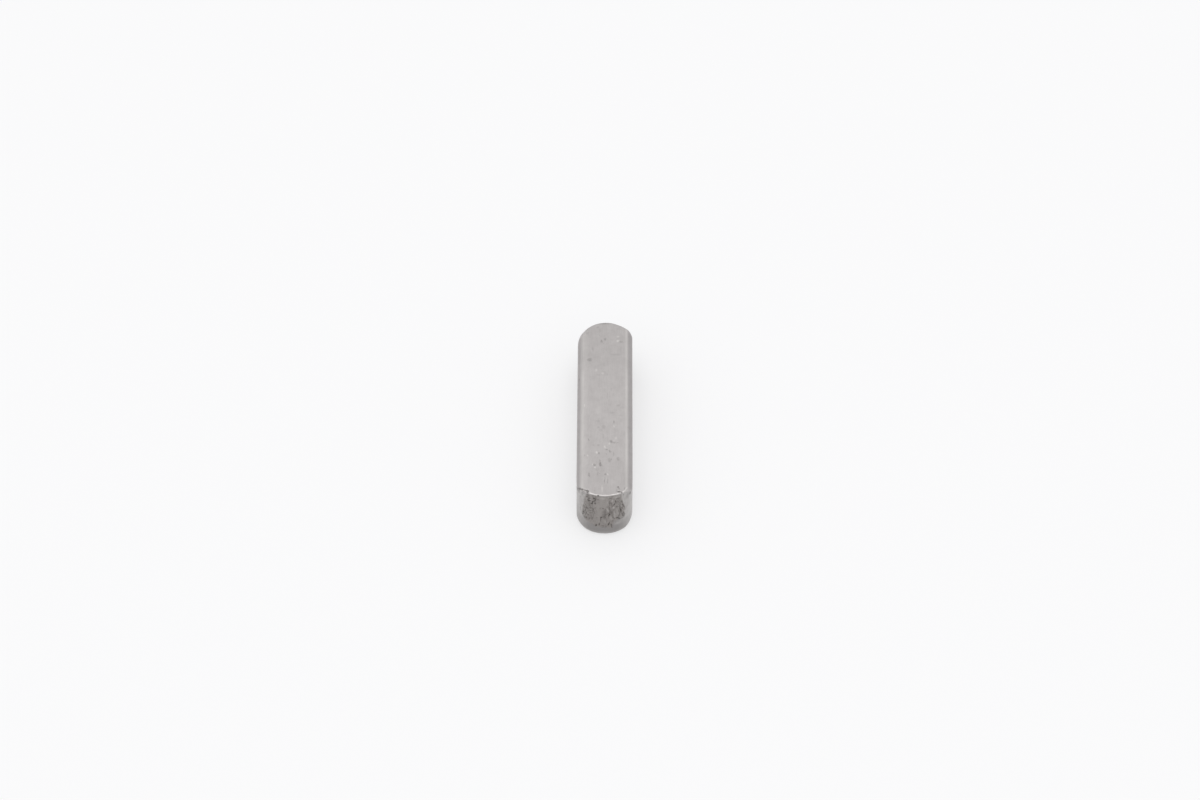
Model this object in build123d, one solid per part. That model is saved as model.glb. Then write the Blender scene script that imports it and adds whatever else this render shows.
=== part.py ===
from build123d import *
import math
import os

# A rounded-end parallel key, lying flat. The length runs along Y, the top face looks along +Z
# and the origin is the centre of the bottom face. All sizes are in millimetres.

# Drawn bar
KEY_WIDTH = 6.0            # flank to flank, the fit in the keyway
KEY_HEIGHT = 6.0           # bottom face to top face
KEY_LENGTH = 25.0          # tip to tip
LONG_EDGE_BREAK = 0.42     # 45 degree break along the four long edges

# Cropped ends
END_EDGE_BREAK = 0.12      # tumbled edge where an end meets the top face
END_EDGE_ROLL = 0.4        # metal drawn over the bottom edge where the punch went in
FAR_END_SKEW = 0.1         # the far end was cropped this far off the middle, towards +X

# Torn part of the near end: the punch cut a smooth band, then the rest of the height broke off
SMOOTH_BAND_HEIGHT = 1.15  # burnished band above the bottom face, on the middle line
TORN_RAMP_HEIGHT = 1.0     # height over which the tear leans back from the band
TORN_SETBACK = 0.45        # depth of the tear behind the tip, on the middle line
SMOOTH_FLANK_WIDTH = 0.6   # burnished strip left at each side of the tear
CORNER_FLARE_HEIGHT = 1.6  # height of the small flares that keep the top corners square
CORNER_FLARE_TAPER = 9.0   # degrees, lean of the flares back into the end

# Worn spot on the far left shoulder of the top face
SHOULDER_WEAR = 0.3        # width of the spot, square to the edge
SHOULDER_WEAR_TURN = 147.0 # degrees from +X round the far end
SHOULDER_WEAR_LEAN = 45.0  # degrees from the wall of the end

half_width = KEY_WIDTH / 2
near_tip = -KEY_LENGTH / 2
far_tip = KEY_LENGTH / 2
near_centre = near_tip + half_width
far_radius = half_width + FAR_END_SKEW
far_centre = far_tip - far_radius
mid_height = KEY_HEIGHT / 2


def drawn_bar():
    """Bar with its broken long edges, as long as the key."""
    section = Rectangle(KEY_WIDTH, KEY_HEIGHT)
    section = chamfer(section.vertices(), LONG_EDGE_BREAK)
    bar = extrude(Plane.XZ * section, KEY_LENGTH / 2, both=True)
    return Pos(0, 0, mid_height) * bar


def cropped_end(radius, middle, centre, inwards):
    """Round-ended form, longer than the key, that one cropping cut leaves it inside.

    The half circle stands about (middle, centre) and the form runs on from there along Y,
    towards +Y where inwards is 1 and towards -Y where it is -1. Its bottom edge is rolled.
    """
    shank = Pos(middle, centre + inwards * KEY_LENGTH / 2) * Rectangle(2 * radius, KEY_LENGTH)
    outline = shank + Pos(middle, centre) * Circle(radius)
    form = extrude(outline, KEY_HEIGHT)
    return fillet(form.faces().sort_by(Axis.Z)[0].edges(), END_EDGE_ROLL)


def broken_top(form):
    """Form with a small tumbled break round its top face."""
    return chamfer(form.faces().sort_by(Axis.Z)[-1].edges(), END_EDGE_BREAK)


def tear_radius():
    """Plan radius of the tear, from its half width on the near end and its depth behind the tip."""
    tear_half_width = half_width - SMOOTH_FLANK_WIDTH
    end_sag = half_width - math.sqrt(half_width**2 - tear_half_width**2)
    tear_sag = end_sag - TORN_SETBACK
    return (tear_half_width**2 + tear_sag**2) / (2 * tear_sag)


def tear_middle():
    """Place along the key of the upright axis that the tear curves round."""
    return near_tip + TORN_SETBACK + tear_radius()


def tear_core():
    """Round core that the torn surface follows: upright above, flaring out to the smooth band."""
    radius = tear_radius()
    ramp_top = SMOOTH_BAND_HEIGHT + TORN_RAMP_HEIGHT
    profile = Polyline(
        (0, 0),
        (radius + TORN_SETBACK * ramp_top / TORN_RAMP_HEIGHT, 0),
        (radius, ramp_top),
        (radius, KEY_HEIGHT - END_EDGE_BREAK),
        (radius - END_EDGE_BREAK, KEY_HEIGHT),
        (0, KEY_HEIGHT),
        close=True,
    )
    core = revolve(Plane.XZ * make_face(profile), Axis.Z)
    return Pos(0, tear_middle(), 0) * core


def near_end_room():
    """Box round the near end, from the middle of its half circle outwards."""
    depth = KEY_LENGTH
    return Pos(0, near_centre - depth / 2, mid_height) * Box(KEY_WIDTH * 2, depth, KEY_HEIGHT)


def corner_flares():
    """Wedge under the top face that keeps the near corners square and leans back below them."""
    depth = near_centre - near_tip
    corners = Pos(0, near_centre - depth / 2) * Rectangle(KEY_WIDTH, depth)
    top = corners & Pos(0, tear_middle()) * Circle(tear_radius())
    raised = Pos(0, 0, KEY_HEIGHT) * top
    return extrude(raised, CORNER_FLARE_HEIGHT, dir=(0, 0, -1), taper=CORNER_FLARE_TAPER)


def worn_shoulder():
    """Cutter for the worn spot, a small flat across the far left edge of the top face."""
    lean = math.radians(SHOULDER_WEAR_LEAN)
    start_radius = far_radius - SHOULDER_WEAR * math.sin(lean)
    cutter = Pos(0, 0, mid_height) * Box(KEY_WIDTH, KEY_WIDTH, KEY_HEIGHT)
    cutter = Rot(0, 90 - SHOULDER_WEAR_LEAN, 0) * cutter
    cutter = Rot(0, 0, SHOULDER_WEAR_TURN) * Pos(start_radius, 0, 0) * cutter
    return Pos(FAR_END_SKEW, far_centre, KEY_HEIGHT) * cutter


def key_body():
    """The whole key, one solid length of steel."""
    bar = drawn_bar()
    near_form = cropped_end(half_width, 0, near_centre, 1)
    far_form = broken_top(cropped_end(far_radius, FAR_END_SKEW, far_centre, -1))
    key = (bar & near_form & far_form) + (bar & corner_flares())
    key -= near_end_room() - tear_core()
    return key - worn_shoulder()


os.makedirs("parts", exist_ok=True)
export_step(key_body(), "parts/key_body.step")
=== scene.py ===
"""A rounded-end parallel key of drawn key steel, lying flat on a pale floor.

The key is one closed surface: a profile is carried round the plan outline, from the middle of the
bottom face, over the rolled edge, up the wall, over the broken top edge and back to the middle of
the top face. Sizes are in millimetres until the mesh is made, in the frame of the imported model.
"""

import logging
import math
from collections.abc import Mapping, Sequence
from dataclasses import dataclass
from enum import Enum
from functools import partial

import bmesh
import bpy
import numpy as np
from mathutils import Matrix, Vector


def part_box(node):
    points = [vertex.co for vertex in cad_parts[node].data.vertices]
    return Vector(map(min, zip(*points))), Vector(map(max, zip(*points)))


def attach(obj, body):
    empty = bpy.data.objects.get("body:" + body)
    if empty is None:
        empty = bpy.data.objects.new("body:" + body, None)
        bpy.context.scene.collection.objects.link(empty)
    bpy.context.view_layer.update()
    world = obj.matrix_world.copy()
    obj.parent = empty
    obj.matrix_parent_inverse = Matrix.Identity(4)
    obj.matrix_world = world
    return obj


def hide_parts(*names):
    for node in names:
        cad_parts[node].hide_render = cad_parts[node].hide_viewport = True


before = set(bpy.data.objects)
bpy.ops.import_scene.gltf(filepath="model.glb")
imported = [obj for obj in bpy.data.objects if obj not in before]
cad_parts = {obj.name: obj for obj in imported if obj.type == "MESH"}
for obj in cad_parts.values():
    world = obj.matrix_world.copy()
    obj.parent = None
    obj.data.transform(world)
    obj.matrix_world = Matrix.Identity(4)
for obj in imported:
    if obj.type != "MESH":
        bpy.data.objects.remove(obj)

logging.basicConfig(level=logging.INFO, format="%(message)s")
log = logging.getLogger("parallel_key")

Array = np.ndarray
Socket = bpy.types.NodeSocket
Span = tuple[float, float]
Triple = tuple[float, float, float]

MILLIMETRE = 0.001
TINY = 1e-6  # keeps a division away from zero
KEY_NODE = "key_body"


class Finish(Enum):
    """Which finish a face of the key takes, in the order of its material slots."""

    DRAWN = 0
    CROPPED = 1


class Mark(Enum):
    """What is laid on the skin as an attribute from 0 to 1, for the materials to read."""

    # Rubbed wear and painted highlights.
    RUBBED = "rubbed_and_highlight"
    # Dirt and painted shade.
    DIRT = "dirt_and_shade"
    SHEARED = "sheared"
    TORN = "torn"
    # Painted shade on the end walls, partly a greyer finish.
    DULL = "dull_and_shade"
    PITTING = "pitting"


def eased_ramp(distance: Array, ease: float) -> Array:
    """Zero below zero and the distance itself above it, joined by a parabola as wide as two eases."""
    inside = np.clip(distance + ease, 0.0, 2.0 * ease)
    return inside**2 / (4.0 * ease) + np.maximum(distance - ease, 0.0)


def eased_step(value: Array, start: float, end: float) -> Array:
    """Zero before start, one after end, and a smooth S between them, three squares less two cubes."""
    part = np.clip((value - start) / (end - start), 0.0, 1.0)
    return part * part * (3.0 - 2.0 * part)


def ridge(value: Array, middle: float, half_width: float) -> Array:
    """One at the middle, falling to zero at the half width: one less the squared distance, squared."""
    return np.clip(1.0 - ((value - middle) / half_width) ** 2, 0.0, 1.0) ** 2


def ridges(value: Array, rows: Sequence[Triple]) -> Array:
    """The sum of several ridges, each given as its middle, its half width and its height."""
    return sum(height * ridge(value, middle, half_width) for middle, half_width, height in rows)


def lesser(first: Array, second: Array, blend: float) -> Array:
    """The lesser of two values, with their crossing rounded off over the blend."""
    return first - eased_ramp(first - second, blend)


def greater(first: Array, second: Array, blend: float) -> Array:
    """The greater of two values, with their crossing rounded off over the blend."""
    return first + eased_ramp(second - first, blend)


def lattice_values(cells: Array, seed: int) -> Array:
    """A repeatable number for each whole-numbered lattice corner, made by mixing its bits.

    Args:
        cells: Whole numbers, three for each corner.
        seed: Picks one of many patterns.

    Returns:
        One number from -1 to 1 for each corner.
    """
    mixed = cells @ np.array([73856093, 19349663, 83492791], dtype=np.int64) + seed * 2654435
    mixed = (mixed ^ (mixed >> 13)) * 1274126177
    mixed = (mixed ^ (mixed >> 16)) & 0xFFFFFF
    return mixed / float(0x7FFFFF) - 1.0


def lattice_noise(points: Array, grain: float | Sequence[float], seed: int) -> Array:
    """Smooth noise: a number at each corner of a lattice, eased between its eight corners.

    Args:
        points: Places in millimetres, one x, y, z row each.
        grain: Size of a lattice cell in millimetres, one number or one for each axis.
        seed: Picks one of many patterns.

    Returns:
        One value from -1 to 1 for each place.
    """
    scaled = points / np.asarray(grain, dtype=float)
    cells = np.floor(scaled).astype(np.int64)
    part = scaled - cells
    ease = part * part * (3.0 - 2.0 * part)
    total = np.zeros(points.shape[:-1])
    for corner in np.ndindex(2, 2, 2):
        weight = np.prod(np.where(np.array(corner) == 1, ease, 1.0 - ease), axis=-1)
        total += weight * lattice_values(cells + np.array(corner), seed)
    return total


@dataclass(frozen=True)
class Noise:
    """Layers of lattice noise, each with half the grain, in millimetres, and half the height of
    the one before. The seed picks one of many patterns."""

    grain: float | Triple
    layers: int
    seed: int

    def at(self, points: Array) -> Array:
        """The sum of the layers at each place, from about -2 to 2."""
        steps = [(np.asarray(self.grain) / 2**k, self.seed + k, 2**k) for k in range(self.layers)]
        return sum(lattice_noise(points, grain, seed) / shrink for grain, seed, shrink in steps)


@dataclass(frozen=True)
class KeySizes:
    """Sizes of the key in millimetres and degrees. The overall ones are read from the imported
    solid. Places round an end are the x part of the direction from its centre, and a bulge or a
    swell there is given as rows of middle, half width and share of the full height. The end run
    is where an end's edges take over from a flank's, in the y part of the direction, and the brim
    drop is how far below the top the outline of the top face is taken."""

    width: float
    height: float
    length: float
    long_edge_break: float = 0.42
    end_edge_break: float = 0.12
    end_edge_roll: float = 0.25
    side_edge_round: float = 0.10
    far_end_skew: float = 0.12
    far_bulge: float = 0.08
    far_bulge_places: tuple[Triple, ...] = ((0.82, 0.15, 1.0), (0.45, 0.25, -0.5), (-0.60, 0.28, -0.5))
    smooth_flank_width: float = 0.6
    corner_flare_taper: float = 9.0
    near_fullness: float = 0.07
    near_fullness_lean: float = 0.02
    foot_swell: float = 0.07
    foot_swell_places: tuple[Triple, ...] = ((-0.95, 0.17, 1.0), (0.76, 0.30, 0.4))
    foot_swell_fade: Span = (1.0, 3.6)
    shoulder_wear: float = 0.36
    shoulder_wear_turn: float = 147.0
    left_knock: float = 0.43
    left_knock_turn: float = 240.0
    right_knock: float = 0.25
    right_knock_turn: float = 324.0
    knock_slope: float = 0.8
    smooth_band_height: float = 1.15
    torn_ramp_height: float = 1.0
    torn_setback: float = 0.50
    brim_drop: float = 0.2
    end_run: Span = (0.15, 0.6)

    @classmethod
    def from_frame(cls) -> "KeySizes":
        """Reads width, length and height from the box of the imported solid.

        Returns:
            The sizes.
        """
        low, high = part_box(KEY_NODE)
        span = (high - low) / MILLIMETRE
        return cls(width=span.x, height=span.z, length=span.y)

    @property
    def half_width(self) -> float:
        """Half of the width, which is also the radius of the near end."""
        return self.width / 2

    @property
    def near_centre(self) -> float:
        """Place along the key of the middle of the near half circle."""
        return -self.length / 2 + self.half_width

    @property
    def far_radius(self) -> float:
        """Radius of the far end."""
        return self.half_width + self.far_end_skew

    @property
    def far_centre(self) -> float:
        """Place along the key of the middle of the far arc."""
        return self.length / 2 - self.far_radius

    @property
    def tear_half_width(self) -> float:
        """Half the width of the torn surface, where its arc meets the half circle."""
        return self.half_width - self.smooth_flank_width

    @property
    def tear_radius(self) -> float:
        """Plan radius of the torn surface, from its half width and its sag.

        Returns:
            The radius in millimetres.
        """
        arc_depth = self.half_width - math.sqrt(self.half_width**2 - self.tear_half_width**2)
        sag = arc_depth - self.torn_setback
        return (self.tear_half_width**2 + sag**2) / (2 * sag)

    @property
    def tear_offset(self) -> float:
        """How far the axis of the torn surface stands inwards from the near half circle's."""
        return self.tear_radius + self.torn_setback - self.half_width


@dataclass(frozen=True)
class Roundings:
    """How far the crossings of the key's surfaces are rounded off, in millimetres."""

    long_edge: float = 0.40
    flare_corner: float = 0.05
    flare_foot: float = 0.04
    near_flank: float = 0.03
    tear: float = 0.02
    far_flank: float = 0.05
    shoulder: float = 0.10
    knock: float = 0.05
    top_breaks: float = 0.03


@dataclass(frozen=True)
class Tear:
    """The torn patch in detail, in millimetres and shares. A run is where a step starts and ends,
    and an edge is where the patch fades in, measured from its border, from the top face or from
    where the torn arc comes through the smooth wall."""

    left_step: float = 0.35
    left_step_run: Span = (0.9, 1.4)
    right_step: float = 0.88
    right_step_run: Span = (0.75, 1.1)
    flank_rise: float = 0.35
    border_noise: Noise = Noise(0.8, 3, 11)
    border_wander: float = 0.25
    ramp_ease: float = 0.3
    bow: float = 0.06
    middle: float = -0.10
    narrowing: float = 0.14
    narrows_from: float = 2.4
    edge_noise: Noise = Noise(0.7, 3, 23)
    side_wander: float = 0.08
    side_edge: Span = (-0.03, 0.10)
    low_wander: float = 0.2
    low_edge: Span = (-0.06, 0.10)
    top_edge: Span = (-0.24, -0.10)
    depth_edge: Span = (-0.14, -0.06)
    far_level: float = 3.4
    far_wander: float = 0.4
    far_edge: Span = (-0.3, 0.3)
    grain_depth: float = 0.16
    grain_stretch: Triple = (1.0, 1.0, 0.45)
    lump_noise: Noise = Noise(0.45, 3, 47)
    lump_share: float = 0.60
    crease_noise: Noise = Noise(0.36, 2, 31)
    crease_share: float = 0.55
    crease_steepness: float = 1.8
    streak_middle: float = -0.60
    streak_lean: float = 0.20
    streak_level: float = 3.0
    streak_half_width: float = 0.85
    streak_smoothness: float = 0.75


@dataclass(frozen=True)
class Patch:
    """A soft-edged oval patch on a face: where its middle is across and up the face, how far it
    reaches each way, its strength, and how far it leans across for each millimetre up."""

    middle: float
    half_width: float
    level: float
    half_height: float
    strength: float
    lean: float = 0.0

    def share(self, across: Array, up: Array) -> Array:
        """The strength times a ridge across, which leans, times a ridge up the face."""
        sides = ridge(across - self.lean * (up - self.level), self.middle, self.half_width)
        return self.strength * sides * ridge(up, self.level, self.half_height)


@dataclass(frozen=True)
class Wear:
    """How strongly wear, dirt, painted highlights and painted shade show, from 0 to 1, and where, in
    millimetres. Streaks, painted highlights along the long edges that stand partly for rubbed wear,
    are rows of middle, half width and strength across the key. A run is where something fades in or out."""

    top_band: float = 0.1
    top_run: Span = (-0.35, -0.1)
    unevenness: Noise = Noise((0.4, 2.2, 9.0), 1, 71)
    mean_strength: float = 0.75
    strength_swing: float = 0.35
    streaks: tuple[Triple, ...] = ((-2.50, 0.34, 0.8), (-2.15, 0.45, 0.30), (2.38, 0.26, 0.9))
    streak_strength: float = 0.55
    torn_streak_strength: float = 0.05
    torn_streak_run: Span = (1.3, 2.0)
    shoulder_strength: float = 0.45
    shoulder_run: Span = (-0.05, 0.12)
    # The painted highlight along the top edge of the near end.
    brink_strength: float = 0.48
    brink_extra: Triple = (2.1, 0.4, 0.28)
    brink_start: Span = (-1.75, -1.60)
    brink_end: Span = (2.25, 2.6)
    brink_run: Span = (-0.12, -0.05)
    brink_level: Span = (-0.03, 0.08)
    wall_darkening: tuple[Patch, ...] = (
        Patch(-1.72, 0.66, 3.6, 2.1, 0.26, lean=0.12),
        Patch(-1.05, 0.50, 2.4, 1.9, 0.14),
        Patch(2.45, 0.34, 5.0, 0.9, 0.30, lean=0.25),
    )
    far_film: float = 0.06
    far_film_run: Span = (2.0, 9.0)
    near_film: float = 0.04
    near_film_run: Span = (5.0, 9.0)
    far_tip_darkening: Triple = (-0.10, 0.75, 0.30)
    far_tip_run: Span = (-0.36, -0.2)
    tip_depth: float = 0.3
    # The painted shadow line at the knocked near left corner and along the brim there.
    corner_noise: Noise = Noise(0.20, 1, 57)
    corner_wander: float = 0.09
    painted_corner_shadow: Triple = (0.03, 0.17, 0.45)
    corner_run: Span = (1.5, 1.8)
    painted_brim_shadow: Triple = (2.93, 0.12, 0.35)
    brim_run: Span = (1.7, 2.0)
    brim_end: Span = (10.5, 11.1)
    corner_depth: float = 0.5
    # Dirt and painted shade in the hollows of the torn grain.
    grain_dirt_and_shade: float = 0.36
    grain_dirt_and_shade_run: Span = (0.35, 1.0)
    shine_clears: float = 2.5
    smear_noise: Noise = Noise(0.8, 3, 91)
    smear_wander: float = 0.25
    smear_run: Span = (0.15, 0.95)
    far_end_share: float = 0.5
    # Painted shade on the end walls, partly a greyer finish: where it lies and how it fades.
    dull_and_shade_middle: float = -0.1
    dull_and_shade_run: Span = (1.35, 3.0)
    dull_and_shade_rise: Span = (0.8, 2.6)
    bright_flank: float = 0.85
    bright_run: Span = (1.2, 2.2)
    bright_rise: Span = (1.2, 2.6)
    foot_dullness: float = 0.45
    foot_rise: Span = (0.20, 0.60)
    pit_patches: tuple[Patch, ...] = (Patch(0.2, 3.0, -6.6, 4.2, 1.0), Patch(0.0, 2.6, 9.6, 2.4, 0.6))


@dataclass(frozen=True)
class Hollow:
    """A small round-bottomed hollow: where it is, how far it reaches along x, y and z, how deep
    it is, how much dirt and painted shade it holds, how bright a painted glint makes it, which way
    it goes in, and how far it leans over in x for each millimetre of height."""

    place: Triple
    reach: Triple
    depth: float
    dirt_and_shade: float = 0.0
    shine: float = 0.0
    inwards: Triple = (0.0, 0.0, -1.0)
    lean: float = 0.0

    def share(self, points: Array) -> Array:
        """One in the middle and zero at the reach: one less the squared distance, squared.

        Args:
            points: Places of the points.

        Returns:
            The share at each.
        """
        away = points - np.array(self.place)
        away[..., 0] -= self.lean * away[..., 2]
        return np.clip(1.0 - ((away / np.array(self.reach)) ** 2).sum(axis=-1), 0.0, 1.0) ** 2


@dataclass(frozen=True)
class HollowMaker:
    """Makes hollows of one kind. One with a darkness above zero is sunk and holds dirt and painted
    shade. One with a darkness below zero stands a little proud and carries a painted glint."""

    sink: float
    lift: float
    inwards: Triple

    def hollow(self, place: Triple, reach: Triple, darkness: float, lean: float = 0.0) -> Hollow:
        """One hollow, deeper the darker it is."""
        depth = self.sink * darkness if darkness > 0.0 else -self.lift
        return Hollow(place, reach, depth, max(darkness, 0.0), max(-darkness, 0.0), self.inwards, lean)


@dataclass(frozen=True)
class Spacing:
    """Distances between the lines of the grid, in millimetres."""

    near_arc: float = 0.045
    far_arc: float = 0.08
    flank: float = 0.085
    wall: float = 0.07
    face_edge: float = 0.03
    face_edge_width: float = 0.6
    face_middle: float = 0.065
    bottom_rows: int = 14
    edge_turns: int = 4


@dataclass
class SkinGrid:
    """The worked-out skin: its points, rows by stations by three, which of them stand on the
    wall, and a value of each mark."""

    points: Array
    wall: Array
    marks: dict[Mark, Array]

    def closed_faces(self) -> Array:
        """Four-cornered faces of the grid, which closes round the stations, facing outwards.

        Returns:
            The numbers of each face's four points.
        """
        rows, stations = self.points.shape[:2]
        first = np.arange(rows * stations).reshape(rows, stations)
        after = np.roll(first, -1, axis=1)
        return np.stack([first[:-1], after[:-1], after[1:], first[1:]], axis=-1).reshape(-1, 4)


@dataclass
class KeySurface:
    """The shape of the key, worked out on a grid of stations round the outline and profile rows."""

    sizes: KeySizes
    tear: Tear = Tear()
    rounding: Roundings = Roundings()
    spacing: Spacing = Spacing()

    def stations(self) -> tuple[Array, Array, Array]:
        """The stations round the outline, anticlockwise from the left of the near end.

        Each station has a foot on the middle line of the key and a level direction outwards.
        On an end the feet share its centre and the directions fan out. On a flank the feet move
        along the middle line and the direction is square to it.

        Returns:
            Place of the foot along the key, and the x and y parts of the direction.
        """
        s, step = self.sizes, self.spacing
        near_count = round(math.pi * s.half_width / step.near_arc)
        far_count = round(math.pi * s.half_width / step.far_arc)
        flank_count = round((s.far_centre - s.near_centre) / step.flank)
        near_turn = np.linspace(-math.pi / 2, math.pi / 2, near_count, endpoint=False)
        far_turn = np.linspace(math.pi / 2, -math.pi / 2, far_count, endpoint=False)
        run = np.linspace(s.near_centre, s.far_centre, flank_count + 1)
        side, level = np.ones(flank_count), np.zeros(flank_count)
        near_feet, far_feet = np.full(near_count, s.near_centre), np.full(far_count, s.far_centre)
        foot = np.concatenate([near_feet, run[:-1], far_feet, run[:0:-1]])
        across = np.concatenate([np.sin(near_turn), side, np.sin(far_turn), -side])
        along = np.concatenate([-np.cos(near_turn), level, np.cos(far_turn), level])
        return foot, across, along

    def tear_reach(self, across: Array, along: Array, radius: Array) -> Array:
        """Distance from the near centre to the torn arc.

        A ray from a point inside a circle leaves it at the root of a quadratic: minus the part of
        the offset along the ray, plus the root of the radius squared less the offset's part
        square to the ray, squared.
        """
        offset = self.sizes.tear_offset
        return offset * along + np.sqrt(np.maximum(radius**2 - (offset * across) ** 2, 0.0))

    def torn_border(self, x: Array, wander: Array) -> Array:
        """Height of the lower border of the torn patch.

        It is lowest in the middle, steps up on the left and more on the right, and rises towards
        the flanks as the sixth power of the distance. Its wandering is added.

        Args:
            x: Places across the key.
            wander: How far the border wanders up at each.

        Returns:
            The height at each place.
        """
        s, tear = self.sizes, self.tear
        steps = tear.left_step * eased_step(-x, *tear.left_step_run)
        steps = steps + tear.right_step * eased_step(x, *tear.right_step_run)
        rise = tear.flank_rise * np.minimum(np.abs(x) / s.tear_half_width, 1.1) ** 6
        return s.smooth_band_height + steps + rise + wander

    def tear_shape(self, x: Array, height: Array) -> Array:
        """Radius of the torn arc at each height.

        It is the plan radius, less a bow inwards, half a sine from the ramp to the top, plus the
        ramp outwards below.

        Args:
            x: Places across the key.
            height: Their heights.

        Returns:
            The radius at each place.
        """
        s, tear = self.sizes, self.tear
        place = np.stack([x, np.zeros_like(x), np.zeros_like(x)], axis=-1)
        wander = tear.border_wander * tear.border_noise.at(place)
        ramp_top = self.torn_border(x, wander) + s.torn_ramp_height
        ramp = eased_ramp(ramp_top - height, tear.ramp_ease) * s.torn_setback / s.torn_ramp_height
        bow = tear.bow * np.sin(np.pi * np.clip((height - ramp_top) / (s.height - ramp_top), 0, 1))
        return s.tear_radius + ramp - bow

    def near_reach(self, across: Array, along: Array, height: Array) -> tuple[Array, Array]:
        """Distance from the near centre to the wall of the near end, before its roughness.

        The half circle is a little full between its tip and its flanks, by the squared sine of
        twice the angle, and swells near the floor by the left flank. A flare leaning back below
        the top face squares its corners, and the torn arc cuts off what stands beyond it.

        Args:
            across: x part of each direction.
            along: y part of each direction.
            height: Height of each point above the floor.

        Returns:
            The distance, and how far the torn arc lies inside the smooth wall.
        """
        s, blend = self.sizes, self.rounding
        lean = (s.height - height) * math.tan(math.radians(s.corner_flare_taper))
        side = np.maximum(np.abs(across), TINY)
        flare_arc = self.tear_reach(across, along, s.tear_radius - lean)
        flare = lesser((s.half_width - lean) / side, flare_arc, blend.flare_corner)
        fullness = s.near_fullness - s.near_fullness_lean * across
        full = s.half_width + fullness * (2.0 * across * along) ** 2
        swell = s.foot_swell * ridges(across, s.foot_swell_places)
        full = full + swell * (1.0 - eased_step(height, *s.foot_swell_fade))
        smooth = greater(full, flare, blend.flare_foot)
        smooth = lesser(smooth, s.half_width / side, blend.near_flank)
        torn = self.tear_reach(across, along, self.tear_shape(across * s.half_width, height))
        return lesser(smooth, torn, blend.tear), smooth - torn

    def far_reach(self, across: Array, along: Array) -> Array:
        """Distance from the far centre to the wall of the far end.

        The arc's centre lies a little to the right. The arc bulges at its right corner, is
        flatter on both slants, and is cut off at the flanks.

        Args:
            across: x part of each direction.
            along: y part of each direction.

        Returns:
            The distance.
        """
        s = self.sizes
        skewed = s.far_end_skew * across
        skewed = skewed + np.sqrt(s.far_radius**2 - (s.far_end_skew * along) ** 2)
        skewed = skewed + s.far_bulge * ridges(across, s.far_bulge_places)
        flank = s.half_width / np.maximum(np.abs(across), TINY)
        return lesser(skewed, flank, self.rounding.far_flank)

    def wall_reach(self, across: Array, along: Array, height: Array) -> tuple[Array, Array]:
        """Distance from the foot to the wall, and the depth of the tear there.

        Args:
            across: x part of each station's direction.
            along: y part of each station's direction.
            height: Height of each point above the floor.

        Returns:
            The distance, and how far the torn arc lies inside the smooth wall.
        """
        near, depth = self.near_reach(across, along, height)
        far = self.far_reach(across, along)
        reach = np.where(along < 0, near, np.where(along > 0, far, self.sizes.half_width))
        return reach, np.where(along < 0, depth, -1.0)

    def flank_break(self, x: Array) -> Array:
        """How far the faces fall away at the long edges: a ramp from where the break starts."""
        s = self.sizes
        return eased_ramp(np.abs(x) - (s.half_width - s.long_edge_break), self.rounding.long_edge)

    def top_height(self, x: Array, y: Array) -> Array:
        """Height of the top face: level, less the greatest of the break along each flank, the
        worn shoulder and the knocked corners.

        Args:
            x: Places across the key.
            y: Places along it.

        Returns:
            The height at each place.
        """
        s, blend = self.sizes, self.rounding
        worn = eased_ramp(self.beyond_shoulder(x, y), blend.shoulder)
        knocked = s.knock_slope * eased_ramp(self.beyond_corner(x, y), blend.knock)
        edges = greater(self.flank_break(x), worn, blend.top_breaks)
        return s.height - greater(edges, knocked, blend.top_breaks)

    def beyond_shoulder(self, x: Array, y: Array) -> Array:
        """Distance past the line where the wear of the far left shoulder starts.

        The wear is the reach of the line along an axis, at 45 degrees to it.

        Args:
            x: Places across the key.
            y: Places along it.

        Returns:
            The distance, below zero inside the line.
        """
        s = self.sizes
        turn = math.radians(s.shoulder_wear_turn)
        start = s.far_radius - s.shoulder_wear * math.sin(math.radians(45.0))
        return (x - s.far_end_skew) * math.cos(turn) + (y - s.far_centre) * math.sin(turn) - start

    def beyond_corner(self, x: Array, y: Array) -> Array:
        """Distance past the line where the near left or right corner is knocked down.

        Args:
            x: Places across the key.
            y: Places along it.

        Returns:
            The greater of the two distances, below zero inside both lines.
        """
        s = self.sizes
        knocks = (s.left_knock, s.left_knock_turn), (s.right_knock, s.right_knock_turn)
        left, right = (
            x * math.cos(math.radians(turn))
            + (y - s.near_centre) * math.sin(math.radians(turn))
            - (s.half_width - knock)
            for knock, turn in knocks
        )
        return np.maximum(left, right)

    def profile_rows(self) -> dict[str, Array]:
        """The rows of the profile, from the middle of a face outwards or upwards.

        Returns:
            Shares of the reach on the faces, turns on the edges and shares of the height on the
            wall.
        """
        s, step = self.sizes, self.spacing
        edge = 1.0 - np.arange(0.0, step.face_edge_width, step.face_edge) / s.half_width
        middle = np.linspace(edge[-1], 0.0, round(edge[-1] * s.half_width / step.face_middle))
        return {
            "top": np.concatenate([edge, middle[1:]]),
            "bottom": np.linspace(0.0, 1.0, step.bottom_rows),
            "turns": np.linspace(0.0, math.pi / 2, step.edge_turns + 1)[1:-1],
            "wall": np.linspace(0.0, 1.0, round(s.height / step.wall)),
        }

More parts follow.
